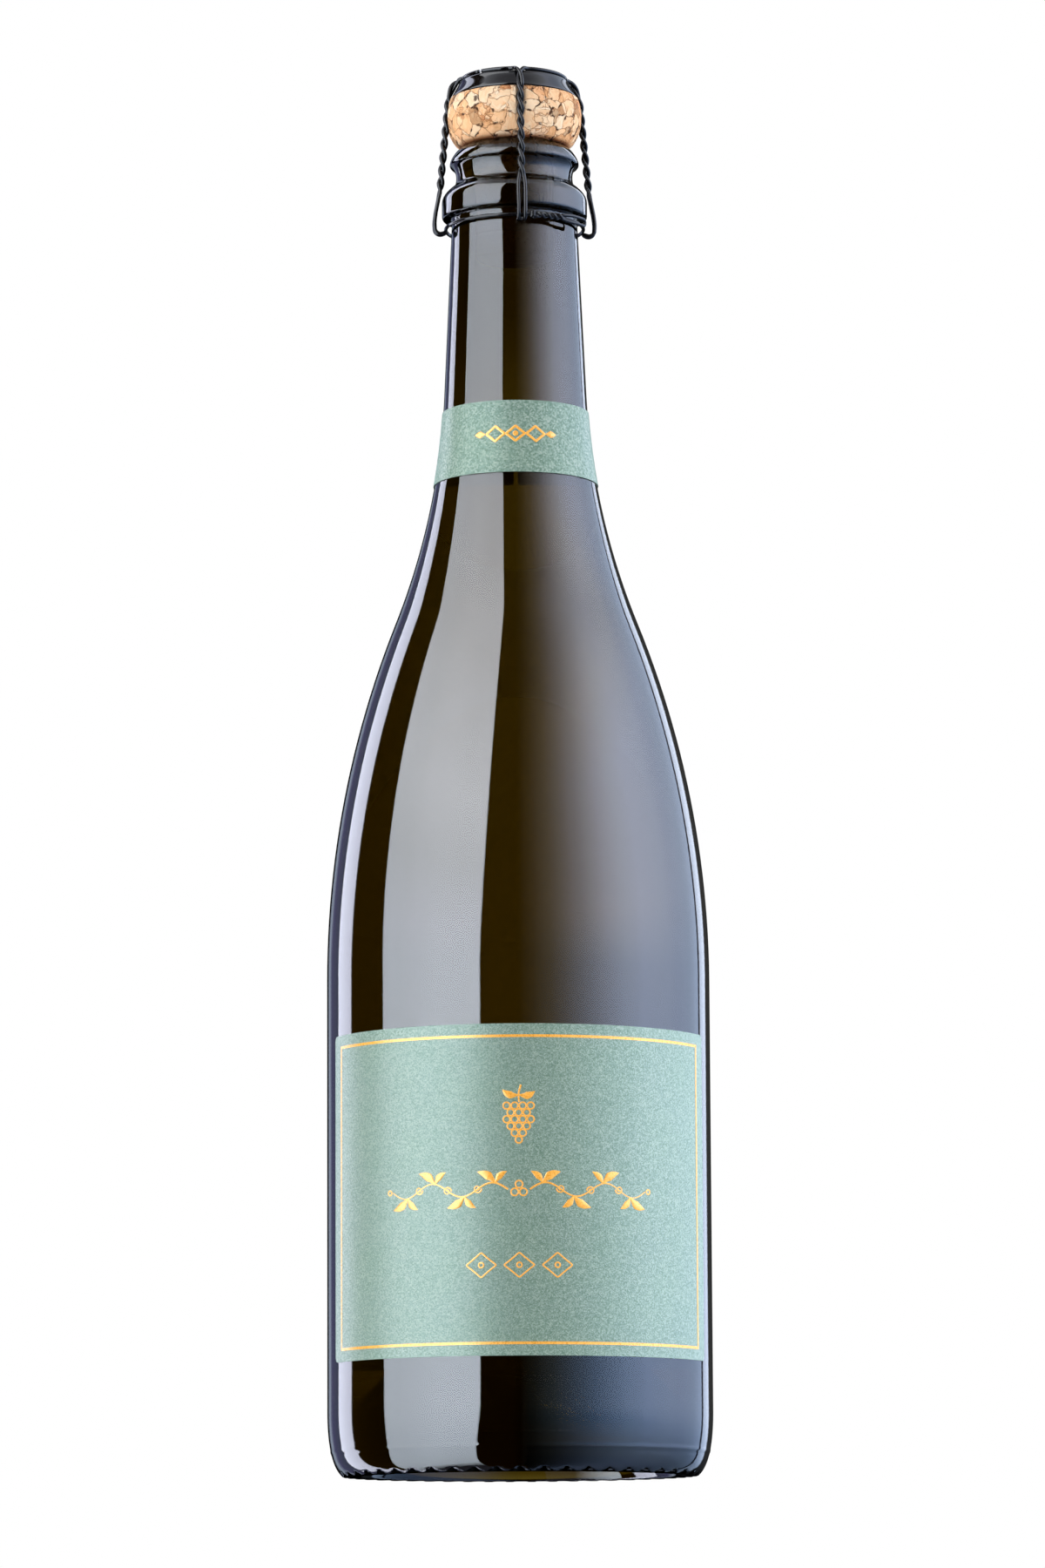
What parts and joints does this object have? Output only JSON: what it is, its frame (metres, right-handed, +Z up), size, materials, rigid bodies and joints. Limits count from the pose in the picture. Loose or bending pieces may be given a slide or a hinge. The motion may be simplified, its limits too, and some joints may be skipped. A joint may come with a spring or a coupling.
{
  "type": "sparkling wine bottle",
  "caption": "Dark glass sparkling wine bottle, filled and closed by a mushroom cork under a cap plate and a twisted wire hood, with paper labels on body and neck.",
  "frame": {"origin": "centre of the standing ring, on the surface that the bottle stands on", "axes": "+Z up along the bottle's axis, -Y toward the front label, +X to the right of the front label"},
  "size_m": [0.087, 0.0878, 0.3231],
  "materials": {
    "glass": "dark amber-olive bottle glass, polished",
    "wine": "clear golden liquid",
    "label_paper": "pale green pearl paper, satin",
    "gold_foil": "hot-stamped gold foil, bright",
    "cork": "agglomerated cork granules, matt",
    "natural_cork": "natural cork, fine pores, matt",
    "plate_lacquer": "black lacquered tinplate, gloss",
    "wire_lacquer": "black lacquered steel wire, gloss"
  },
  "bodies": {
    "bottle": {"glass_bottle": "glass", "wine": "wine", "front_label": "label_paper", "back_label": "label_paper", "neck_label": "label_paper"},
    "cork": {"cork_body": "cork", "cork_disc_upper": "natural_cork", "cork_disc_lower": "natural_cork"},
    "hood": {"cap_plate": "plate_lacquer", "cage_wire": "wire_lacquer", "belt_wire": "wire_lacquer"},
    "loop": {"twist_loop": "wire_lacquer"}
  },
  "joints": [
    {"name": "cork_pull", "type": "slide", "parent": "bottle", "child": "cork", "axis": [0, 0, 1], "range_m": [0, 0.035], "deforming": ["cage_wire", "belt_wire"]},
    {"name": "hood_lift", "type": "slide", "parent": "cork", "child": "hood", "axis": [0, 0, 1], "range_m": [0, 0.042], "deforming": ["cage_wire", "belt_wire"]},
    {"name": "loop_fold", "type": "hinge", "parent": "hood", "child": "loop", "pos_m": [0.00421, -0.01762, 0.28658], "axis": [0, 0, -1], "range_deg": [0, 80]}
  ]
}
